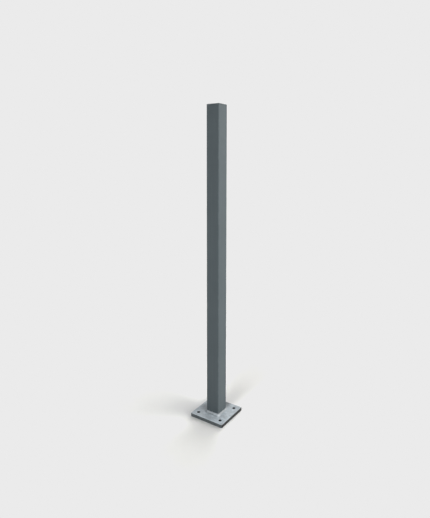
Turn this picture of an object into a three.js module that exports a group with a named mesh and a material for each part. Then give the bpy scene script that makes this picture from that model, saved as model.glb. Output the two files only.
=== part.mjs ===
// A square steel post on a base plate, for bolting down to a quay, deck or pavement.
// The post is a hollow section, closed by a welded cap and fillet-welded to the plate.
// Millimetres, +Z up. The origin is the centre of the plate's underside.

import * as THREE from 'three';

// Post: a cold-formed square hollow section.
const POST_SIDE = 50;
const POST_WALL = 2.5;
const POST_CORNER_RADIUS = 3.5;
const OVERALL_HEIGHT = 1080;

// Base plate, with its four anchor holes at the corners of a square.
const PLATE_SIDE = 130;
const PLATE_THICKNESS = 12;
const PLATE_CORNER_RADIUS = 2.5;
const PLATE_EDGE_BREAK = 0.8;
const ANCHOR_SPACING = 90;
const ANCHOR_HOLE_RADIUS = 5.5;
const DRAIN_HOLE_RADIUS = 10;

// Cap: a plate set back from the post's faces, which leaves room for the weld that holds it.
const CAP_THICKNESS = 4;
const CAP_SETBACK = 1.5;

// Foot welds: a convex fillet along each face, each turning half of the corner at both ends.
const FILLET_LEG = 4.5;
const FILLET_BULGE = 0.5;
const FILLET_FACE_STEPS = 6;

// Facets in a quarter turn, even so that a fillet can end at the middle of a corner.
const CORNER_STEPS = 8;
const HOLE_STEPS = 32;

// Lengths that each face of the post is divided into, so that its foot has facets of its own.
const POST_DIVISIONS = 8;

// Lengths that follow from the ones above.
const POST_LENGTH = OVERALL_HEIGHT - PLATE_THICKNESS - CAP_THICKNESS;
const CAP_SIDE = POST_SIDE - 2 * CAP_SETBACK;
const CAP_CORNER_RADIUS = POST_CORNER_RADIUS - CAP_SETBACK;

// Points round a square with rounded corners, anticlockwise from its front left corner.
// Every corner has CORNER_STEPS + 1 points, so the outline's order is the same at any size.
function roundedSquare(side, radius) {
  const centre = side / 2 - radius;
  const corners = [[-1, -1], [1, -1], [1, 1], [-1, 1]];
  return corners.flatMap(([signX, signY], corner) => {
    const startAngle = Math.PI + corner * Math.PI / 2;
    return Array.from({ length: CORNER_STEPS + 1 }, (_, step) => {
      const angle = startAngle + (step / CORNER_STEPS) * Math.PI / 2;
      const x = signX * centre + radius * Math.cos(angle);
      const y = signY * centre + radius * Math.sin(angle);
      return new THREE.Vector2(x, y);
    });
  });
}

function circle(x, y, radius) {
  return Array.from({ length: HOLE_STEPS }, (_, step) => {
    const angle = (step / HOLE_STEPS) * 2 * Math.PI;
    return new THREE.Vector2(x + radius * Math.cos(angle), y + radius * Math.sin(angle));
  });
}

// An upright solid of the given outline, from z = 0 to z = height, with its holes cut through.
function upright(outline, holes, height, { edgeBreak = 0, divisions = 1 } = {}) {
  const shape = new THREE.Shape(outline);
  shape.holes = holes.map((hole) => new THREE.Path(hole));
  const geometry = new THREE.ExtrudeGeometry(shape, {
    depth: height - 2 * edgeBreak,
    steps: divisions,
    bevelEnabled: edgeBreak > 0,
    bevelThickness: edgeBreak,
    bevelSize: edgeBreak,
    bevelOffset: -edgeBreak,
    bevelSegments: 1,
  });
  return geometry.translate(0, 0, edgeBreak);
}

function postTubeGeometry() {
  const outside = roundedSquare(POST_SIDE, POST_CORNER_RADIUS);
  const inside = roundedSquare(POST_SIDE - 2 * POST_WALL, POST_CORNER_RADIUS - POST_WALL);
  return upright(outside, [inside], POST_LENGTH, { divisions: POST_DIVISIONS });
}

// The drain hole opens into the post, as a galvanised hollow post needs.
function basePlateGeometry() {
  const reach = ANCHOR_SPACING / 2;
  const anchorHoles = [[-1, -1], [1, -1], [1, 1], [-1, 1]].map(([signX, signY]) => (
    circle(signX * reach, signY * reach, ANCHOR_HOLE_RADIUS)));
  const holes = [...anchorHoles, circle(0, 0, DRAIN_HOLE_RADIUS)];
  const outline = roundedSquare(PLATE_SIDE, PLATE_CORNER_RADIUS);
  return upright(outline, holes, PLATE_THICKNESS, { edgeBreak: PLATE_EDGE_BREAK });
}

function topCapGeometry() {
  return upright(roundedSquare(CAP_SIDE, CAP_CORNER_RADIUS), [], CAP_THICKNESS);
}

// Fills the step round the cap and is ground flush, so its outside is the post's own outline.
function capWeldGeometry() {
  const outside = roundedSquare(POST_SIDE, POST_CORNER_RADIUS);
  const inside = roundedSquare(CAP_SIDE, CAP_CORNER_RADIUS);
  return upright(outside, [inside], CAP_THICKNESS);
}

// The fillet's section, as [distance out from the post, height above the plate].
// It runs from the root to the toe on the plate, then over the convex face to the post.
function filletSection() {
  const section = [[0, 0]];
  for (let step = 0; step <= FILLET_FACE_STEPS; step += 1) {
    const share = step / FILLET_FACE_STEPS;
    const bulge = FILLET_BULGE * 4 * share * (1 - share) * Math.SQRT1_2;
    section.push([FILLET_LEG * (1 - share) + bulge, FILLET_LEG * share + bulge]);
  }
  return section;
}

// Sweeps the fillet's section along one face of the post, between the middles of two corners.
function footWeldGeometry(face) {
  const foot = roundedSquare(POST_SIDE, POST_CORNER_RADIUS);
  // With no flats left the outline is a unit circle, so its points are the outward directions.
  const outward = roundedSquare(2, 1);
  const section = filletSection();
  const pointsPerCorner = CORNER_STEPS + 1;
  const start = face * pointsPerCorner + CORNER_STEPS / 2;
  const stations = Array.from({ length: pointsPerCorner + 1 }, (_, step) => (start + step) % foot.length);

  const positions = stations.flatMap((station) => section.flatMap(([out, up]) => {
    const place = foot[station].clone().addScaledVector(outward[station], out);
    return [place.x, place.y, up];
  }));

  const size = section.length;
  const triangles = [];
  for (let station = 0; station < stations.length - 1; station += 1) {
    for (let edge = 0; edge < size; edge += 1) {
      const here = station * size + edge;
      const next = station * size + (edge + 1) % size;
      triangles.push(here, here + size, next, next, here + size, next + size);
    }
  }
  const lastStation = (stations.length - 1) * size;
  const flatSection = section.map(([out, up]) => new THREE.Vector2(out, up));
  THREE.ShapeUtils.triangulateShape(flatSection, []).forEach(([a, b, c]) => {
    triangles.push(a, b, c);
    triangles.push(lastStation + a, lastStation + c, lastStation + b);
  });

  const geometry = new THREE.BufferGeometry();
  geometry.setAttribute('position', new THREE.Float32BufferAttribute(positions, 3));
  geometry.setIndex(triangles);
  geometry.computeVertexNormals();
  return geometry;
}

function postCoating() {
  return new THREE.MeshStandardMaterial({ color: 0x6a7378, roughness: 0.5, metalness: 0.2 });
}

function galvanisedPlate() {
  return new THREE.MeshStandardMaterial({ color: 0xa9b4bc, roughness: 0.45, metalness: 0.6 });
}

function weldMetal() {
  return new THREE.MeshStandardMaterial({ color: 0xb8c0c5, roughness: 0.55, metalness: 0.6 });
}

function piece(name, geometry, material, height) {
  const mesh = new THREE.Mesh(geometry, material);
  mesh.name = name;
  mesh.position.z = height;
  return mesh;
}

const FACES = ['front', 'right', 'back', 'left'];
const capHeight = PLATE_THICKNESS + POST_LENGTH;

const bollardPost = new THREE.Group();
bollardPost.name = 'bollard_post';
bollardPost.add(piece('base_plate', basePlateGeometry(), galvanisedPlate(), 0));
bollardPost.add(piece('post_tube', postTubeGeometry(), postCoating(), PLATE_THICKNESS));
bollardPost.add(piece('top_cap', topCapGeometry(), postCoating(), capHeight));
bollardPost.add(piece('cap_weld', capWeldGeometry(), postCoating(), capHeight));
FACES.forEach((name, face) => {
  bollardPost.add(piece(`foot_weld_${name}`, footWeldGeometry(face), weldMetal(), PLATE_THICKNESS));
});

export default bollardPost;
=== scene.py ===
"""A square steel bollard post on its base plate, standing on a pale studio floor.

Lengths are in metres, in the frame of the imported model: +Z up, the floor at z = 0.
"""

import math
import random

import bmesh
import bpy
from mathutils import Matrix, Vector, noise
from mathutils.geometry import delaunay_2d_cdt


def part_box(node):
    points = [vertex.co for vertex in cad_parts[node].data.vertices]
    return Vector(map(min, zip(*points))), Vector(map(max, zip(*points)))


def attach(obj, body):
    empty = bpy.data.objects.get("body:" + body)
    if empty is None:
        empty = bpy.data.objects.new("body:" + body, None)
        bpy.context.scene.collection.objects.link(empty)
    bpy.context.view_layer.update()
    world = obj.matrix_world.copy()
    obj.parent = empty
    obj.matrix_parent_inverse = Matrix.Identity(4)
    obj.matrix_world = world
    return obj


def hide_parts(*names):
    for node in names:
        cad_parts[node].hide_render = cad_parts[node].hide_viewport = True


MM = 0.001

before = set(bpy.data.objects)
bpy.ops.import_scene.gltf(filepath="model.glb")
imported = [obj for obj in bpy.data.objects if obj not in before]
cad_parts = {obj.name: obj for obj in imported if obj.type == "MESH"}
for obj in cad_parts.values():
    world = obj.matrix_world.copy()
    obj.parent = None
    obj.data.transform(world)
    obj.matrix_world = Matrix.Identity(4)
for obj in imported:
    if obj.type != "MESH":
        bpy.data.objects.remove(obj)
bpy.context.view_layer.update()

# ---------------------------------------------------------------- sizes taken from the frame

TUBE_LOW, TUBE_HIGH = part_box("post_tube")
PLATE_LOW, PLATE_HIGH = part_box("base_plate")
CAP_LOW, CAP_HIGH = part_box("top_cap")
POST_SIDE = TUBE_HIGH.x - TUBE_LOW.x
PLATE_SIDE = PLATE_HIGH.x - PLATE_LOW.x
PLATE_TOP = PLATE_HIGH.z
CAP_SIDE = CAP_HIGH.x - CAP_LOW.x

# Sizes that no node's box holds.
POST_RADIUS = 3.5 * MM
POST_WALL = 2.5 * MM
PLATE_RADIUS = 2.5 * MM
ANCHOR_REACH = 45 * MM
ANCHOR_RADIUS = 5.5 * MM
DRAIN_RADIUS = 10 * MM
FILLET_LEG = 4.5 * MM

# ---------------------------------------------------------------- camera and light

# Angles are in degrees. An azimuth of 0 is in front of the post, and one of 90 is to its right.
CAMERA_AZIMUTH = 33.95
CAMERA_DISTANCE = 1.4548
CAMERA_HEIGHT = 0.8807
CAMERA_PITCH = 5.695
CAMERA_ROLL = 0.077
CAMERA_LENS = 29.936
CAMERA_SHIFT = (-0.0034, -0.0989)

# The tone that the floor and the backdrop are both shown at, the backdrop's own tone, which is a little
# past it as the floor's is, and the backdrop's faint glow as a light.
SHOWN_TONE = 0.83
BACKDROP_TONE = 0.872
GLOW_TONE = 0.021
# Where the tones' curve bends below the shown tone: a tone, and the tone that it is shown at.
CONTRAST_KNEE = (0.75, 0.69)
FLOOR_ALBEDO = 0.8
FLOOR_SIZE = 60.0

# Distant softboxes: name, azimuth, elevation, strength, how many degrees across, and colour.
LAMPS = (
    ("side_window", 105, 15, 4.78, 60, (1.0, 0.985, 0.95)),
    ("front_lamp", 5, 30, 1.89, 30, (0.98, 1.0, 1.0)),
    ("back_window", 190, 15, 4.3, 60, (1.0, 1.0, 1.0)),
)

# Which of a view's four curves acts on all three colours together.
COMBINED_CURVE = 3


def towards(azimuth, elevation):
    """The direction from the object to something at that azimuth and elevation, in degrees."""
    a = math.radians(azimuth)
    e = math.radians(elevation)
    return Vector((math.sin(a) * math.cos(e), -math.cos(a) * math.cos(e), math.sin(e)))


def make_camera():
    data = bpy.data.cameras.new("camera")
    data.lens = CAMERA_LENS
    data.shift_x, data.shift_y = CAMERA_SHIFT
    camera = bpy.data.objects.new("camera", data)
    bpy.context.collection.objects.link(camera)
    camera.location = towards(CAMERA_AZIMUTH, 0) * CAMERA_DISTANCE + Vector((0, 0, CAMERA_HEIGHT))
    turns = (90 - CAMERA_PITCH, -CAMERA_ROLL, CAMERA_AZIMUTH)
    camera.rotation_euler = [math.radians(turn) for turn in turns]
    bpy.context.scene.camera = camera


def make_sun(name, azimuth, elevation, strength, softness, colour):
    """A distant softbox: a sun as many degrees across as softness."""
    data = bpy.data.lights.new(name, "SUN")
    data.energy = strength
    data.angle = math.radians(softness)
    data.color = colour
    lamp = bpy.data.objects.new(name, data)
    bpy.context.collection.objects.link(lamp)
    lamp.rotation_mode = "QUATERNION"
    lamp.rotation_quaternion = towards(azimuth, elevation).to_track_quat("Z", "Y")


def hold_highlights(view, tone, knee):
    """Shows everything brighter than tone at that tone, as a white studio sweep is exposed.

    The floor is lit a little past it, so that it meets the backdrop without a line. Between the knee
    and that tone the contrast is higher, which keeps the soft shadows close to the object.
    """
    view.use_curve_mapping = True
    curve = view.curve_mapping.curves[COMBINED_CURVE]
    curve.points[1].location = (1, tone)
    curve.points.new(*knee)
    curve.points.new(tone, tone)
    for point in curve.points:
        point.handle_type = "VECTOR"
    view.curve_mapping.update()


def make_studio():
    scene = bpy.context.scene
    scene.view_settings.view_transform = "Standard"
    hold_highlights(scene.view_settings, SHOWN_TONE, CONTRAST_KNEE)
    world = bpy.data.worlds.new("studio")
    world.use_nodes = True
    tree = world.node_tree
    seen = add_node(tree, "ShaderNodeLightPath").outputs["Is Camera Ray"]
    colour = mixed(tree, seen, (GLOW_TONE,) * 3, (BACKDROP_TONE,) * 3)
    tree.links.new(colour, tree.nodes["Background"].inputs["Color"])
    scene.world = world
    for lamp in LAMPS:
        make_sun(*lamp)


# ---------------------------------------------------------------- shader helpers

# A Mix node's sockets for its share and its two colours, and the one that gives the result.
MIX_SHARE = 0
MIX_FIRST = 6
MIX_SECOND = 7
MIX_RESULT = 2

# The values that nearly all of a noise lies between.
NOISE_LOW = 0.3
NOISE_HIGH = 0.7


def feed(tree, value, socket):
    """Links a socket to the one that feeds it, or gives it a value of its own."""
    if isinstance(value, bpy.types.NodeSocket):
        tree.links.new(value, socket)
    elif socket.type == "RGBA":
        socket.default_value = (*value, 1)
    else:
        socket.default_value = value


def add_node(tree, kind, inputs=None, **settings):
    """A new shader node. An input is given as a value, or as the socket that feeds it."""
    made = tree.nodes.new(kind)
    for key, value in settings.items():
        setattr(made, key, value)
    for key, value in (inputs or {}).items():
        feed(tree, value, made.inputs[key])
    return made


def maths(tree, operation, *values):
    made = add_node(tree, "ShaderNodeMath", dict(enumerate(values)), operation=operation)
    return made.outputs[0]


def vector_maths(tree, operation, first, second):
    made = add_node(tree, "ShaderNodeVectorMath", {0: first, 1: second}, operation=operation)
    return made.outputs["Vector"]


def product(tree, *values):
    result = values[0]
    for value in values[1:]:
        result = maths(tree, "MULTIPLY", result, value)
    return result


def added(tree, base, value, share):
    """base plus a share of value."""
    return maths(tree, "ADD", base, maths(tree, "MULTIPLY", value, share))


def place(tree):
    """Where a point is on the object, in metres."""
    return add_node(tree, "ShaderNodeTexCoord").outputs["Object"]


def split(tree, vector):
    """The X, Y and Z of a vector."""
    return add_node(tree, "ShaderNodeSeparateXYZ", {0: vector}).outputs


def stretched(tree, vector, scale):
    made = add_node(tree, "ShaderNodeMapping", {"Vector": vector, "Scale": scale})
    return made.outputs["Vector"]


def noise_value(tree, vector, scale, detail, roughness=0.55):
    """A noise with about as many swells to the metre as scale."""
    inputs = {"Vector": vector, "Scale": scale, "Detail": detail, "Roughness": roughness}
    return add_node(tree, "ShaderNodeTexNoise", inputs).outputs["Fac"]


def ramp(tree, value, low, high, start=0.0, end=1.0):
    """value between low and high, eased to between start and end."""
    inputs = {"Value": value, "From Min": low, "From Max": high, "To Min": start, "To Max": end}
    made = add_node(tree, "ShaderNodeMapRange", inputs, interpolation_type="SMOOTHSTEP")
    return made.outputs["Result"]


def swing(tree, value, spread, low=NOISE_LOW, high=NOISE_HIGH):
    """value between low and high, turned into a brightness that is spread below to spread above 1."""
    return ramp(tree, value, low, high, 1 - spread, 1 + spread)


def band(tree, value, outer_low, inner_low, inner_high, outer_high):
    """1 between the inner two values, fading to 0 at the outer two."""
    rise = ramp(tree, value, outer_low, inner_low)
    fall = ramp(tree, value, inner_high, outer_high, 1.0, 0.0)
    return product(tree, rise, fall)


def patch(tree, vector, centre, reach, fade, brightness):
    """The brightness in an oval patch, fading to 1 outside it.

    The fade is from one share of the reach to another. The centre and the reach each way are in metres.
    """
    away = vector_maths(tree, "SUBTRACT", vector, centre)
    shares = stretched(tree, away, [1 / length for length in reach])
    distance = add_node(tree, "ShaderNodeVectorMath", {0: shares}, operation="LENGTH").outputs["Value"]
    return ramp(tree, distance, *fade, brightness, 1.0)


def mixed(tree, share, first, second):
    """first where share is 0, and second where it is 1. A colour is a socket or three numbers."""
    inputs = {MIX_SHARE: share, MIX_FIRST: first, MIX_SECOND: second}
    return add_node(tree, "ShaderNodeMix", inputs, data_type="RGBA").outputs[MIX_RESULT]


def shaded(tree, colour, brightness):
    """colour, a socket or three numbers, made brighter or darker."""
    return vector_maths(tree, "MULTIPLY", colour, brightness)


def new_material(name):
    material = bpy.data.materials.new(name)
    material.use_nodes = True
    tree = material.node_tree
    return material, tree, tree.nodes["Principled BSDF"]


def bump(tree, shader, height, strength, distance):
    inputs = {"Height": height, "Strength": strength, "Distance": distance}
    made = add_node(tree, "ShaderNodeBump", inputs)
    tree.links.new(made.outputs["Normal"], shader.inputs["Normal"])


# ---------------------------------------------------------------- post's coating

POST_GREY = (0.0905, 0.1085, 0.118)
POST_ROUGHNESS = (0.6, 0.68)
POST_SPECULAR = 0.06

# Noises in the coat, each as its swells to the metre and its detail. The lines run along the post.
POST_BROAD = (6.0, 3.0)
POST_LINES = (420.0, 2.0)
POST_LINE_STRETCH = (1, 1, 0.012)
POST_FINE = (900.0, 2.0)
POST_BLOTCHES = (260.0, 4.0)
POST_WEAR = (55.0, 5.0)
# How much brighter and darker they make it.
POST_BROAD_SWING = 0.035
POST_LINE_SWING = 0.025

# The foot's mottle: the noise between its darkest and lightest places, how dark and light they are, and
# the heights above the plate between which it fades.
MOTTLE_NOISE = (0.35, 0.65)
MOTTLE_TONE = (-0.1, 0.08)
FOOT_FADE = (4 * MM, 26 * MM)

# The painted highlight on the post's rounded corners, broken up by a noise: where it starts, as the
# distance both ways from the post's axis, the noise between none of it and all of it, and how much
# brighter and glossier it makes the coat.
CORNER_FADE = (20.5 * MM, 23.2 * MM)
CORNER_HIGHLIGHT_NOISE = (0.45, 0.7)
CORNER_HIGHLIGHT_BRIGHTNESS = 0.16
CORNER_HIGHLIGHT_GLOSS = 0.08

# The lines' share in the coat's relief, and the relief's strength and depth.
POST_LINE_RELIEF = 0.6
POST_RELIEF = (0.12, 0.25 * MM)


def post_coating():
    """A smooth, dull grey coat: faint draw lines along the post, a painted highlight on the rounded
    corners, a mottled foot.
    """
    material, tree, shader = new_material("post_coating")
    at = place(tree)
    x, y, z = split(tree, at)
    broad = noise_value(tree, at, *POST_BROAD)
    lines = noise_value(tree, stretched(tree, at, POST_LINE_STRETCH), *POST_LINES)
    fine = noise_value(tree, at, *POST_FINE)
    blotches = noise_value(tree, at, *POST_BLOTCHES)
    wear = noise_value(tree, at, *POST_WEAR)

    foot = ramp(tree, maths(tree, "SUBTRACT", z, PLATE_TOP), *FOOT_FADE, 1.0, 0.0)
    mottle = product(tree, foot, ramp(tree, blotches, *MOTTLE_NOISE, *MOTTLE_TONE))
    nearer = maths(tree, "MINIMUM", maths(tree, "ABSOLUTE", x), maths(tree, "ABSOLUTE", y))
    # Painted highlight on the rounded corners, patchy where the noise is low.
    corner_highlight = product(tree, ramp(tree, nearer, *CORNER_FADE), ramp(tree, wear, *CORNER_HIGHLIGHT_NOISE))

    tone = product(tree, swing(tree, broad, POST_BROAD_SWING), swing(tree, lines, POST_LINE_SWING))
    tone = product(tree, tone, added(tree, 1.0, corner_highlight, CORNER_HIGHLIGHT_BRIGHTNESS), maths(tree, "ADD", mottle, 1.0))
    tree.links.new(shaded(tree, POST_GREY, tone), shader.inputs["Base Color"])

    dull = added(tree, ramp(tree, fine, NOISE_LOW, NOISE_HIGH, *POST_ROUGHNESS), corner_highlight, -CORNER_HIGHLIGHT_GLOSS)
    tree.links.new(dull, shader.inputs["Roughness"])
    shader.inputs["Specular IOR Level"].default_value = POST_SPECULAR
    bump(tree, shader, added(tree, fine, lines, POST_LINE_RELIEF), *POST_RELIEF)
    return material


# ---------------------------------------------------------------- plate's zinc

ZINC = (0.343, 0.384, 0.42)
# The sides' greys: partly the dark scale of cut edges and partly painted shade, as sides turned from the
# light; the left and right sides are painted darker still, as shade against the side lamp.
SIDE_SHADE_GREY = (0.091, 0.1045, 0.11)
SIDE_DEEP_SHADE_GREY = (0.023, 0.023, 0.023)
ZINC_ROUGHNESS = (0.6, 0.5)
ZINC_SPECULAR = 0.2

# Noises in the zinc, each as its swells to the metre, its detail and, for the clouds, its roughness.
# The streaks run from left to right over the top, and the drag lines up and down the edges.
ZINC_CLOUDS = (42.0, 4.0, 0.6)
ZINC_BLOTCHES = (190.0, 2.0)
ZINC_STREAKS = (330.0, 3.0)
ZINC_STREAK_STRETCH = (0.16, 1, 1)
EDGE_DRAG = (900.0, 3.0)
EDGE_DRAG_STRETCH = (1, 1, 0.08)
# How much brighter and darker they make it, and the values that nearly all of the clouds lie between.
CLOUD_SWING = 0.08
CLOUD_NOISE = (0.32, 0.68)
BLOTCH_SWING = 0.1
STREAK_SWING = 0.05
DRAG_SWING = 0.25

# The zinc's crystals: how many there are to the metre, the noise that makes their outlines uneven and
# how far it moves them, how their tones differ in brightness and roughness, and their feathering.
CRYSTAL_SCALE = 105.0
CRYSTAL_WARP = {"Scale": 160.0, "Detail": 2.0}
CRYSTAL_WARP_REACH = 4 * MM
CRYSTAL_SWING = 0.1
CRYSTAL_ROUGHNESS = 0.05
FEATHER = (1500.0, 2.0)
FEATHER_STRETCH = (1, 0.12, 1)
FEATHER_SWING = 0.04

# How far a face points up or down before it counts as a flat, and left or right before it takes the
# deeper painted shade.
FLAT_FADE = (0.35, 0.85)
DEEP_SHADE_FADE = (0.5, 0.8)

# The feathering's and the drag lines' shares in the zinc's relief, and the relief's strength and depth.
FEATHER_RELIEF = 0.35
DRAG_RELIEF = 0.8
ZINC_RELIEF = (0.2, 0.2 * MM)

# The painted shade along the toe of the front weld, where the bead meets the plate: across it, as
# distances outside the post's faces, along it, how far forward it starts, and the noise between where
# it's missing and where it shows.
TOE_ACROSS = (3.8 * MM, 4.4 * MM, 5.6 * MM, 6.4 * MM)
TOE_ALONG = (-18 * MM, -12 * MM, 8 * MM, 14 * MM)
TOE_FRONT = (-24 * MM, -26 * MM)
TOE_GAPS = (70.0, 3.0)
TOE_GAP_NOISE = (0.3, 0.5)
TOE_SHADE = 0.8

# The painted highlight along the rim of the plate's top, as its rounded edge catching the light: where
# it starts, as distances outside the post's faces, and where it fades out, short of the right edge.
RIM_START = (34.5 * MM, 37.5 * MM)
RIM_END = (56 * MM, 60 * MM)
RIM_HIGHLIGHT = 0.13

# The plate's own edges are further outside the post's faces than this, and the holes' walls aren't.
HOLES_END = (38 * MM, 39 * MM)
# The holes' walls are painted darker, as shade inside the holes.
HOLE_SHADE = 0.4

# Patches of painted shade and painted light on the plate's top: the centre and the reach each way in
# millimetres, the fade as shares of the reach, and the brightness.
PAINTED_LIGHT_PATCHES = (
    # Painted shadow of the post, at its left.
    ((-41, 1), (25, 30), (0.4, 1.2), 0.58),
    # Painted shadow of the post, behind it.
    ((-8, 48), (36, 40), (0.6, 1.1), 0.48),
    # Painted light along the front, lifting the post's shadow there, and more so beside the front weld.
    ((26, -50), (58, 28), (0.4, 1.25), 1.2),
    ((-8, -36), (26, 10), (0.4, 1.2), 1.25),
)
PATCH_DEPTH = 100 * MM


def distance_from_post(tree, vector):
    """How far a point is outside the post's faces, in metres. It is below zero inside them."""
    x, y, _ = split(tree, vector)
    further = maths(tree, "MAXIMUM", maths(tree, "ABSOLUTE", x), maths(tree, "ABSOLUTE", y))
    return maths(tree, "SUBTRACT", further, POST_SIDE / 2)


def spangle(tree, vector):
    """Zinc crystals: each cell has its own tone, and is feathered in a direction of its own."""
    warp = add_node(tree, "ShaderNodeTexNoise", {"Vector": vector, **CRYSTAL_WARP})
    shift = vector_maths(tree, "SUBTRACT", warp.outputs["Color"], (0.5, 0.5, 0.5))
    shift = add_node(tree, "ShaderNodeVectorMath", {0: shift, "Scale": CRYSTAL_WARP_REACH},
                     operation="SCALE").outputs["Vector"]
    warped = vector_maths(tree, "ADD", vector, shift)
    cells = add_node(tree, "ShaderNodeTexVoronoi", {"Vector": warped, "Scale": CRYSTAL_SCALE})
    tone = split(tree, cells.outputs["Color"])["X"]
    angle = maths(tree, "MULTIPLY", tone, 2 * math.pi)
    turned = add_node(tree, "ShaderNodeVectorRotate", {"Vector": vector, "Angle": angle},
                      rotation_type="Z_AXIS").outputs["Vector"]
    feather = noise_value(tree, stretched(tree, turned, FEATHER_STRETCH), *FEATHER)
    return tone, feather


def toe_shade_line(tree, at, outside):
    """1 in the painted shade along the toe of the front weld, where a coarse noise lets it show."""
    x, y, _ = split(tree, at)
    gate = ramp(tree, noise_value(tree, at, *TOE_GAPS), *TOE_GAP_NOISE)
    across = band(tree, outside, *TOE_ACROSS)
    along = band(tree, x, *TOE_ALONG)
    return product(tree, across, gate, ramp(tree, y, *TOE_FRONT), along)


def painted_zinc_tones(tree, at, outside):
    """How bright the plate's top is at each place, from the painted shade along the weld's toe, the
    painted highlight on its rim and its patches of painted shade and light.
    """
    x, _, _ = split(tree, at)
    # Painted highlight along the rim of the plate's top.
    rim = product(tree, ramp(tree, outside, *RIM_START), ramp(tree, x, *RIM_END, 1.0, 0.0))
    # Painted shade along the toe of the front weld.
    toe = added(tree, 1.0, toe_shade_line(tree, at, outside), -TOE_SHADE)
    painted_tones = [toe, added(tree, 1.0, rim, RIM_HIGHLIGHT)]
    # Patches of painted shade and painted light.
    for centre, reach, fade, brightness in PAINTED_LIGHT_PATCHES:
        middle = (centre[0] * MM, centre[1] * MM, PLATE_TOP)
        lengths = (reach[0] * MM, reach[1] * MM, PATCH_DEPTH)
        painted_tones.append(patch(tree, at, middle, lengths, fade, brightness))
    return product(tree, *painted_tones)


def galvanised_plate():
    """Dull zinc: spangle and streaks on the flats, dark drag lines on the cut edges, sides darkened partly
    by painted shade, painted shade in the holes, along the weld's toe and in patches, and painted light on
    the rim and along the front.
    """
    material, tree, shader = new_material("galvanised_plate")
    at = place(tree)
    outside = distance_from_post(tree, at)
    tone, feather = spangle(tree, at)
    clouds = noise_value(tree, at, *ZINC_CLOUDS)
    blotches = noise_value(tree, at, *ZINC_BLOTCHES)
    streaks = noise_value(tree, stretched(tree, at, ZINC_STREAK_STRETCH), *ZINC_STREAKS)
    drag = noise_value(tree, stretched(tree, at, EDGE_DRAG_STRETCH), *EDGE_DRAG)
    facing_x, _, facing_z = split(tree, add_node(tree, "ShaderNodeNewGeometry").outputs["Normal"])
    flat = ramp(tree, maths(tree, "ABSOLUTE", facing_z), *FLAT_FADE)
    deep_shade = ramp(tree, maths(tree, "ABSOLUTE", facing_x), *DEEP_SHADE_FADE)

    bright = product(
        tree,
        swing(tree, clouds, CLOUD_SWING, *CLOUD_NOISE),
        swing(tree, blotches, BLOTCH_SWING),
        swing(tree, tone, CRYSTAL_SWING, 0.0, 1.0),
        swing(tree, feather, FEATHER_SWING),
        swing(tree, streaks, STREAK_SWING),
        painted_zinc_tones(tree, at, outside),
    )
    top_colour = shaded(tree, ZINC, bright)

    # Painted shade on the holes' walls.
    hole_shade = ramp(tree, outside, *HOLES_END, HOLE_SHADE, 1.0)
    # The sides in painted shade, deeper on the left and right sides.
    side_shade_colour = mixed(tree, deep_shade, SIDE_SHADE_GREY, SIDE_DEEP_SHADE_GREY)
    side_colour = shaded(tree, side_shade_colour, product(tree, hole_shade, swing(tree, drag, DRAG_SWING)))
    tree.links.new(mixed(tree, flat, side_colour, top_colour), shader.inputs["Base Color"])

    rough = ramp(tree, clouds, NOISE_LOW, NOISE_HIGH, *ZINC_ROUGHNESS)
    uneven = ramp(tree, tone, 0.0, 1.0, -CRYSTAL_ROUGHNESS, CRYSTAL_ROUGHNESS)
    tree.links.new(maths(tree, "ADD", rough, uneven), shader.inputs["Roughness"])
    shader.inputs["Specular IOR Level"].default_value = ZINC_SPECULAR
    relief = added(tree, added(tree, streaks, feather, FEATHER_RELIEF), drag, DRAG_RELIEF)
    bump(tree, shader, relief, *ZINC_RELIEF)
    return material


# ---------------------------------------------------------------- welds' metal and floor's paint

WELD_ZINC = (0.248, 0.271, 0.29)
WELD_ROUGHNESS = (0.38, 0.52)
WELD_SPECULAR = 0.4
WELD_RELIEF = (0.25, 0.15 * MM)
# Noises in the welds, each as its swells to the metre and its detail, and what they do to the brightness.
WELD_PATCHES = (140.0, 4.0)
WELD_PATCH_BRIGHTNESS = (0.85, 1.12)
WELD_GRAIN = (1600.0, 3.0)
WELD_GRAIN_SWING = 0.08
# Heights above the plate between which the bead is painted darker towards the post, as shade where it
# meets the post.
WELD_TOP_FADE = (3.6 * MM, 6.2 * MM)
WELD_TOP_SHADE = 0.85
# The front bead is painted brighter, as the highlight on its lit face, apart from its left end, which is
# painted darker as shade.
WELD_FRONT_FADE = (-26.5 * MM, -24.5 * MM)
WELD_FRONT_HIGHLIGHT = 1.6
WELD_LEFT_FADE = (-25 * MM, -17 * MM)
WELD_LEFT_SHADE = 0.5
# The painted highlight on the corner where the front and right beads stop.
WELD_CORNER = (20 * MM, -28 * MM, PLATE_TOP)
WELD_CORNER_REACH = (13 * MM, 10 * MM, 14 * MM)
WELD_CORNER_FADE = (0.4, 1.2)
WELD_CORNER_HIGHLIGHT = 1.25

# The floor's faint clouds, as their swells to the metre and their detail, and what they do to its tone.
FLOOR_CLOUDS = (3.0, 3.0)
FLOOR_SWING = 0.005


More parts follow.
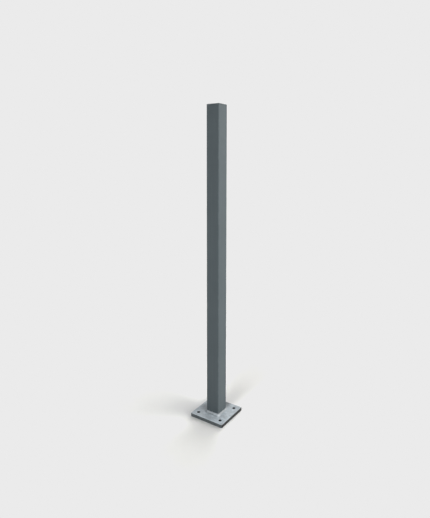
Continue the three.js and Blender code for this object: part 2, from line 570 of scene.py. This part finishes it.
def weld_metal():
    """Zinc over weld metal: pitted and shinier than the plate, with painted highlights along the front
    bead and on its right corner, and painted shade at its left end and where the beads meet the post.
    """
    material, tree, shader = new_material("weld_metal")
    at = place(tree)
    x, y, z = split(tree, at)
    patches = noise_value(tree, at, *WELD_PATCHES)
    grain = noise_value(tree, at, *WELD_GRAIN)

    bright = product(
        tree,
        ramp(tree, patches, NOISE_LOW, NOISE_HIGH, *WELD_PATCH_BRIGHTNESS),
        swing(tree, grain, WELD_GRAIN_SWING),
        # Painted shade where the bead meets the post.
        ramp(tree, maths(tree, "SUBTRACT", z, PLATE_TOP), *WELD_TOP_FADE, 1.0, WELD_TOP_SHADE),
        # Painted highlight on the front right corner.
        patch(tree, at, WELD_CORNER, WELD_CORNER_REACH, WELD_CORNER_FADE, WELD_CORNER_HIGHLIGHT),
        # Painted highlight along the front bead, and painted shade at its left end.
        ramp(tree, y, *WELD_FRONT_FADE, WELD_FRONT_HIGHLIGHT, 1.0),
        ramp(tree, x, *WELD_LEFT_FADE, WELD_LEFT_SHADE, 1.0),
    )
    tree.links.new(shaded(tree, WELD_ZINC, bright), shader.inputs["Base Color"])
    rough = ramp(tree, grain, NOISE_LOW, NOISE_HIGH, *WELD_ROUGHNESS)
    tree.links.new(rough, shader.inputs["Roughness"])
    shader.inputs["Specular IOR Level"].default_value = WELD_SPECULAR
    bump(tree, shader, grain, *WELD_RELIEF)
    return material


def floor_paint():
    """A matt white that is very nearly even."""
    material, tree, shader = new_material("floor_paint")
    bright = swing(tree, noise_value(tree, place(tree), *FLOOR_CLOUDS), FLOOR_SWING)
    tree.links.new(shaded(tree, (FLOOR_ALBEDO,) * 3, bright), shader.inputs["Base Color"])
    shader.inputs["Roughness"].default_value = 1.0
    shader.inputs["Specular IOR Level"].default_value = 0.0
    return material


# ---------------------------------------------------------------- mesh helpers

CORNER_STEPS = 12
EDGE_STEPS = 4
# How far along the flats the extra points beside each corner are.
HOLD = 0.4 * MM
# Faces that meet at more than this many degrees have a sharp edge between them.
SHARP_DEGREES = 40
# The corners of a square, anticlockwise from the front left.
CORNERS = ((-1, -1), (1, -1), (1, 1), (-1, 1))


def outline(side, radius):
    """[(point, outward)] round a square with rounded corners, anticlockwise from the front left.

    Each corner has one more point on the flats at either side, to keep the flats' shading flat.
    """
    reach = side / 2 - radius
    stations = []
    for corner, (sign_x, sign_y) in enumerate(CORNERS):
        centre = Vector((sign_x * reach, sign_y * reach))
        for step in range(-1, CORNER_STEPS + 2):
            turn = min(max(step, 0), CORNER_STEPS) / CORNER_STEPS
            angle = math.pi * (1 + (corner + turn) / 2)
            outward = Vector((math.cos(angle), math.sin(angle)))
            along = Vector((-outward.y, outward.x))
            beyond = HOLD * ((step > CORNER_STEPS) - (step < 0))
            stations.append((centre + outward * radius + along * beyond, outward))
    return stations


def circle(x, y, radius, steps):
    stations = []
    for step in range(steps):
        angle = 2 * math.pi * step / steps
        outward = Vector((math.cos(angle), math.sin(angle)))
        stations.append((Vector((x, y)) + outward * radius, outward))
    return stations


def rounded_edge(height, radius, steps=EDGE_STEPS, rising=True):
    """[(inset, height)] over the quarter round at the top edge, or the bottom one, of a wall."""
    points = []
    for step in range(steps + 1):
        angle = math.pi / 2 * step / steps
        inset = radius * (1 - math.cos(angle))
        up = radius * (1 - math.sin(angle))
        points.append((inset, height - up if rising else height + up))
    return points if rising else points[::-1]


def rings_of(mesh, stations, profile):
    """One ring of new vertices round the stations for each (inset, height) of the profile."""
    rings = []
    for inset, height in profile:
        rings.append([mesh.verts.new((*(point - outward * inset), height)) for point, outward in stations])
    return rings


def join_rings(mesh, rings, closed):
    pairs = list(zip(rings, rings[1:]))
    if closed:
        pairs.append((rings[-1], rings[0]))
    for low, high in pairs:
        for index in range(len(low)):
            after = (index + 1) % len(low)
            mesh.faces.new((low[index], low[after], high[after], high[index]))


def finished(mesh, name, material, sharp_degrees=SHARP_DEGREES):
    """The mesh as a smooth-shaded object, with its faces pointing out."""
    bmesh.ops.recalc_face_normals(mesh, faces=mesh.faces)
    data = bpy.data.meshes.new(name)
    mesh.to_mesh(data)
    mesh.free()
    data.shade_smooth()
    data.set_sharp_from_angle(angle=math.radians(sharp_degrees))
    data.materials.append(material)
    made = bpy.data.objects.new(name, data)
    bpy.context.collection.objects.link(made)
    return made


def rides(piece, slot, *nodes):
    """Puts a piece on the one body and hides the CAD nodes that it stands for. The slot, its finish, is
    not used.
    """
    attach(piece, "root")
    if nodes:
        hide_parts(*nodes)


# ---------------------------------------------------------------- post and cap

# The ends of the tube and the foot of the cap's weld are only just broken.
BROKEN_EDGE = 0.15 * MM
BROKEN_STEPS = 2
# The fine groove between the cap and its weld, and the weld's rounded outer edge.
CAP_GROOVE = 0.25 * MM
GROOVE_STEPS = 3
CAP_ARRIS = 0.5 * MM
ARRIS_STEPS = 6


def make_post(coating):
    """The tube, open at both ends, with its edges just broken."""
    mesh = bmesh.new()
    low = TUBE_LOW.z
    high = TUBE_HIGH.z
    profile = rounded_edge(low, BROKEN_EDGE, BROKEN_STEPS, rising=False)
    profile += rounded_edge(high, BROKEN_EDGE, BROKEN_STEPS)
    profile += [(POST_WALL, high), (POST_WALL, low)]
    rings = rings_of(mesh, outline(POST_SIDE, POST_RADIUS), profile)
    join_rings(mesh, rings, closed=True)
    post = finished(mesh, "post_shell", coating)
    rides(post, "post_coating", "post_tube")


def make_cap(coating, setback):
    """The plate that closes the post, set back from its faces."""
    mesh = bmesh.new()
    profile = [(0, CAP_LOW.z)] + rounded_edge(CAP_HIGH.z, CAP_GROOVE, GROOVE_STEPS)
    rings = rings_of(mesh, outline(CAP_SIDE, POST_RADIUS - setback), profile)
    join_rings(mesh, rings, closed=False)
    mesh.faces.new(rings[0][::-1])
    mesh.faces.new(rings[-1])
    cap = finished(mesh, "cap_plate", coating)
    rides(cap, "post_coating", "top_cap")


def make_cap_weld(coating, setback):
    """The ring of weld round the cap, ground flush with the post and slightly rounded on top."""
    mesh = bmesh.new()
    low = CAP_LOW.z
    high = CAP_HIGH.z
    profile = rounded_edge(low, BROKEN_EDGE, BROKEN_STEPS, rising=False)
    profile += rounded_edge(high, CAP_ARRIS, ARRIS_STEPS)
    profile += [(setback - CAP_GROOVE, high), (setback, high - CAP_GROOVE), (setback, low)]
    rings = rings_of(mesh, outline(POST_SIDE, POST_RADIUS), profile)
    join_rings(mesh, rings, closed=True)
    weld = finished(mesh, "cap_weld_ground", coating)
    rides(weld, "post_coating", "cap_weld")


# ---------------------------------------------------------------- base plate

PLATE_EDGE = 0.9 * MM
HOLE_EDGE = 0.7 * MM
HOLE_STEPS = 40
# The spacing of the points inside the top and the underside, and how near a rim they may come.
ZINC_GRID = 2.5 * MM
UNDERSIDE_GRID = 4 * ZINC_GRID
RIM_CLEARANCE = 0.55
# The zinc's waves: how deep they are, how many broad and small ones there are to the metre, the small
# ones' share, and how much of the depth a swell of 1 takes up.
ZINC_WAVE = 0.11 * MM
BROAD_WAVES = 75
SMALL_WAVES = 190
SMALL_WAVE_SHARE = 0.5
SWELL_SHARE = 0.6
# The triangulation's settings: keep what the loops enclose, and merge points nearer than this.
INSIDE_LOOPS = 1
MERGE_DISTANCE = 1e-7


def hole_places():
    places = [(x * ANCHOR_REACH, y * ANCHOR_REACH, ANCHOR_RADIUS) for x, y in CORNERS]
    return places + [(0, 0, DRAIN_RADIUS)]


def in_a_hole(spot):
    return any((spot - Vector((x, y))).length < radius + HOLE_EDGE for x, y, radius in hole_places())


def grid_points(rim, grid):
    """A square grid of points over the plate, outside its holes and clear of the rim's points."""
    half = PLATE_SIDE / 2 - 2 * PLATE_EDGE
    count = int(2 * half / grid)
    spots = []
    for row in range(count + 1):
        for column in range(count + 1):
            spot = Vector((column * 2 * half / count - half, row * 2 * half / count - half))
            clear = all((spot - point).length > RIM_CLEARANCE * grid for point in rim)
            if clear and not in_a_hole(spot):
                spots.append(spot)
    return spots


def fill_between(mesh, loops, height, grid):
    """Triangles at one height inside the first loop and outside the others. Gives the new vertices."""
    rim = []
    edges = []
    for loop in loops:
        start = len(rim)
        rim += [vertex.co.to_2d() for vertex in loop]
        edges += [(start + i, start + (i + 1) % len(loop)) for i in range(len(loop))]
    points = rim + grid_points(rim, grid)
    flat, _, faces, origins, _, _ = delaunay_2d_cdt(points, edges, [], INSIDE_LOOPS, MERGE_DISTANCE)
    rim_vertices = [vertex for loop in loops for vertex in loop]
    corners = []
    inner = []
    for spot, origin in zip(flat, origins):
        known = [index for index in origin if index < len(rim)]
        if known:
            corners.append(rim_vertices[known[0]])
        else:
            inner.append(mesh.verts.new((spot.x, spot.y, height)))
            corners.append(inner[-1])
    for face in faces:
        middle = sum((flat[index] for index in face), Vector((0, 0))) / len(face)
        if not in_a_hole(middle):
            mesh.faces.new([corners[index] for index in face])
    return inner


def make_plate(zinc):
    """The plate, with its edges and hole mouths rounded by the zinc and its flats slightly wavy."""
    mesh = bmesh.new()
    top = PLATE_HIGH.z
    bottom = PLATE_LOW.z
    profile = rounded_edge(bottom, PLATE_EDGE, rising=False) + rounded_edge(top, PLATE_EDGE)
    sides = rings_of(mesh, outline(PLATE_SIDE, PLATE_RADIUS), profile)
    join_rings(mesh, sides, closed=False)
    top_loops = [sides[-1]]
    bottom_loops = [sides[0]]
    # A hole's wall stands back from its middle, so the profile's insets are turned round.
    wall = rounded_edge(bottom, HOLE_EDGE, rising=False) + rounded_edge(top, HOLE_EDGE)
    wall = [(-inset, height) for inset, height in wall]
    for x, y, radius in hole_places():
        rings = rings_of(mesh, circle(x, y, radius, HOLE_STEPS), wall)
        join_rings(mesh, rings, closed=False)
        top_loops.append(rings[-1])
        bottom_loops.append(rings[0])
    wavy = fill_between(mesh, top_loops, top, ZINC_GRID)
    fill_between(mesh, bottom_loops, bottom, UNDERSIDE_GRID)
    for vertex in wavy:
        swell = noise.noise(vertex.co * BROAD_WAVES)
        swell += SMALL_WAVE_SHARE * noise.noise(vertex.co * SMALL_WAVES)
        vertex.co.z = top - ZINC_WAVE * min(max(0.5 - swell * SWELL_SHARE, 0), 1)
    plate = finished(mesh, "zinc_plate", zinc)
    rides(plate, "plate_zinc", "base_plate")


# ---------------------------------------------------------------- welds

# The post's faces, anticlockwise.
FACES = ("front", "right", "back", "left")
BEAD_STEP = 0.22 * MM
BEAD_FACE_STEPS = 14
BEAD_SHARP_DEGREES = 60
BEAD_OVERRUN = 1.6 * MM
BEAD_ROOT = 0.35 * MM
# How far out the middle of the bead is, and so the radius that it turns a corner at.
BEAD_MIDDLE = 2 * MM
BEAD_MIDDLE_RADIUS = POST_RADIUS + BEAD_MIDDLE
# A fillet made with the torch at the post climbs it further than it reaches over the plate.
BEAD_RISE = 1.3
# How much the leg wanders, in broad and in small waves to the metre and the small ones' share, how much
# it swells near a corner, and over what length. The seeds keep the four beads from being alike.
BEAD_WANDER = 0.09
BEAD_BROAD_WAVES = 150
BEAD_SMALL_WAVES = 420
BEAD_SMALL_WAVE_SHARE = 0.6
BEAD_SEED_STEP = 7.3
CORNER_SWELL = 0.26
CORNER_SWELL_LENGTH = 3.2 * MM
# How far the bead's face stands out from a flat one, and the square of the share of its leg that is
# left at its ends.
BEAD_CROWN = 0.17
BEAD_LEAST = 0.02
# The ripples' spacing and height, how far they bow along the bead, how unevenly they are spaced, in
# waves to the metre and a share of the spacing, and how blunt their crests are.
RIPPLE_PITCH = 1.7 * MM
RIPPLE_HEIGHT = 0.075
RIPPLE_BOW = 0.55
RIPPLE_WAVES = 300
RIPPLE_UNEVENNESS = 0.25
RIPPLE_BLUNTNESS = 0.6
# About a ripple's mean height, which is taken off so that the ripples don't thicken the bead.
RIPPLE_MEAN = 0.7
# How much of their height the ripples keep at the bead's edges.
RIPPLE_EDGE_SHARE = 0.25
# Each use of the noise reads a layer of its own.
BROAD_LAYER = 0
RIPPLE_LAYER = 2
SMALL_LAYER = 5
# The corner nearest the front right has the stops of both beads, and so more metal.
FRONT_CORNER = Vector((POST_SIDE / 2, -POST_SIDE / 2))
FRONT_CORNER_REACH = 9 * MM
FRONT_CORNER_EXTRA = 0.35


def beside_post(face, run):
    """A point on the post's outline, and the way it faces, at a run from the middle of a face.

    The run is measured along the middle of the bead, which turns with the corners.
    """
    flat = POST_SIDE / 2 - POST_RADIUS
    past = max(abs(run) - flat, 0)
    turn = math.copysign(past / BEAD_MIDDLE_RADIUS, run)
    angle = turn - math.pi / 2
    outward = Vector((math.cos(angle), math.sin(angle)))
    centre = Vector((max(-flat, min(run, flat)), -flat))
    point = centre + outward * POST_RADIUS
    quarter = Matrix.Rotation(face * math.pi / 2, 2)
    return quarter @ point, quarter @ outward


def noise_along(run, scale, seed, layer):
    return noise.noise(Vector((run * scale, seed, layer)))


def bead_leg(run, half, seed):
    """The fillet's leg at a run along it: uneven, heavier at the corners, domed at its ends."""
    wander = noise_along(run, BEAD_BROAD_WAVES, seed, BROAD_LAYER)
    wander += BEAD_SMALL_WAVE_SHARE * noise_along(run, BEAD_SMALL_WAVES, seed, SMALL_LAYER)
    corner = math.exp(-(((half - abs(run)) / CORNER_SWELL_LENGTH) ** 2))
    leg = FILLET_LEG * (1.0 + BEAD_WANDER * wander + CORNER_SWELL * corner)
    over = max(abs(run) - half, 0) / BEAD_OVERRUN
    return leg * math.sqrt(max(1 - over * over, BEAD_LEAST))


def ripple(face, run, crown):
    """How high the ripple at this place is, where the crown is 0 at the bead's edges and 1 between."""
    phase = (run + RIPPLE_BOW * RIPPLE_PITCH * crown) / RIPPLE_PITCH
    phase += RIPPLE_UNEVENNESS * noise_along(run, RIPPLE_WAVES, face, RIPPLE_LAYER)
    height = abs(math.sin(math.pi * phase)) ** RIPPLE_BLUNTNESS - RIPPLE_MEAN
    kept = RIPPLE_EDGE_SHARE + (1 - RIPPLE_EDGE_SHARE) * crown
    return RIPPLE_HEIGHT * height * kept


def bead_section(face, run, leg, spread):
    """[(out, up)] round the bead: its root, and its face from the plate to the post."""
    section = [(-BEAD_ROOT, -BEAD_ROOT)]
    for facet in range(BEAD_FACE_STEPS + 1):
        angle = math.pi / 2 * facet / BEAD_FACE_STEPS
        crown = math.sin(2 * angle)
        reach = leg / (math.cos(angle) + math.sin(angle))
        reach *= 1 + BEAD_CROWN * crown + ripple(face, run, crown)
        out = spread * reach * math.cos(angle)
        up = BEAD_RISE * reach * math.sin(angle)
        if facet == 0:
            up = -BEAD_ROOT
        if facet == BEAD_FACE_STEPS:
            out = -BEAD_ROOT
        section.append((out, up))
    return section


def make_bead(name, node, face, metal):
    """A fillet with the ripples of its passes, sunk a little into the post and the plate."""
    half = POST_SIDE / 2 - POST_RADIUS + BEAD_MIDDLE_RADIUS * math.pi / 4
    length = 2 * (half + BEAD_OVERRUN)
    steps = round(length / BEAD_STEP)
    mesh = bmesh.new()
    rings = []
    for step in range(steps + 1):
        run = length * (step / steps - 0.5)
        base, outward = beside_post(face, run)
        leg = bead_leg(run, half, face * BEAD_SEED_STEP)
        nearness = max(0, 1 - (base - FRONT_CORNER).length / FRONT_CORNER_REACH)
        section = bead_section(face, run, leg, 1 + FRONT_CORNER_EXTRA * nearness)
        rings.append([mesh.verts.new((*(base + outward * out), PLATE_TOP + up)) for out, up in section])
    join_rings(mesh, rings, closed=False)
    mesh.faces.new(rings[0])
    mesh.faces.new(rings[-1][::-1])
    bead = finished(mesh, name, metal, BEAD_SHARP_DEGREES)
    rides(bead, "weld_zinc", node)


# ---------------------------------------------------------------- spatter

SPATTER_SEED = 11
SPATTER_DROPS = 90
SPATTER_RADII = (0.25 * MM, 0.3 * MM, 0.35 * MM, 0.45 * MM, 0.6 * MM)
# How long the stretch that drops leave a weld from is, as a share of the post's side.
SPATTER_SPREAD = 1.1
# A drop's width and height as shares of a ball's, and how finely it is divided.
DROP_WIDTHS = (0.8, 1.2)
DROP_HEIGHTS = (0.7, 1)
DROP_SUBDIVISIONS = 2
# How far a drop is thrown, in millimetres: the least, and how fast longer throws get rarer.
LEAST_THROW = 6.0
THROW_FALLOFF = 0.13
LONGEST_THROW = 30 * MM
HIGHEST_THROW = 34 * MM
SHARE_ON_PLATE = 0.6
DROP_SINK = 0.1 * MM
# No drop lies nearer the plate's edge than this.
EDGE_MARGIN = 3 * MM


def make_spatter(metal):
    """Drops thrown off by the welding, stuck to the plate and to the foot of the post."""
    rng = random.Random(SPATTER_SEED)
    mesh = bmesh.new()
    for _ in range(SPATTER_DROPS):
        face = rng.randrange(len(FACES))
        run = rng.uniform(-0.5, 0.5) * POST_SIDE * SPATTER_SPREAD
        base, outward = beside_post(face, run)
        radius = rng.choice(SPATTER_RADII)
        throw = MM * (LEAST_THROW + rng.expovariate(THROW_FALLOFF))
        if rng.random() < SHARE_ON_PLATE:
            spot = base + outward * min(throw, LONGEST_THROW)
            middle = Vector((*spot, PLATE_TOP - DROP_SINK))
            if in_a_hole(spot) or max(abs(spot.x), abs(spot.y)) > PLATE_SIDE / 2 - EDGE_MARGIN:
                continue
        else:
            middle = Vector((*base, PLATE_TOP + min(throw, HIGHEST_THROW)))
        stretch = Matrix.Diagonal((1, rng.uniform(*DROP_WIDTHS), rng.uniform(*DROP_HEIGHTS), 1))
        matrix = Matrix.Translation(middle) @ stretch
        bmesh.ops.create_icosphere(mesh, subdivisions=DROP_SUBDIVISIONS, radius=radius, matrix=matrix)
    spatter = finished(mesh, "weld_spatter", metal)
    rides(spatter, "weld_zinc")


def make_welds(metal):
    for face, side in enumerate(FACES):
        make_bead(f"bead_{side}", f"foot_weld_{side}", face, metal)
    make_spatter(metal)


# ---------------------------------------------------------------- floor

FLOOR_SEGMENTS = 8


def make_floor():
    mesh = bmesh.new()
    bmesh.ops.create_grid(mesh, x_segments=FLOOR_SEGMENTS, y_segments=FLOOR_SEGMENTS, size=FLOOR_SIZE / 2)
    floor = finished(mesh, "floor", floor_paint())


make_camera()
make_studio()
make_floor()
coating = post_coating()
cap_setback = (POST_SIDE - CAP_SIDE) / 2
make_post(coating)
make_cap(coating, cap_setback)
make_cap_weld(coating, cap_setback)
make_plate(galvanised_plate())
make_welds(weld_metal())
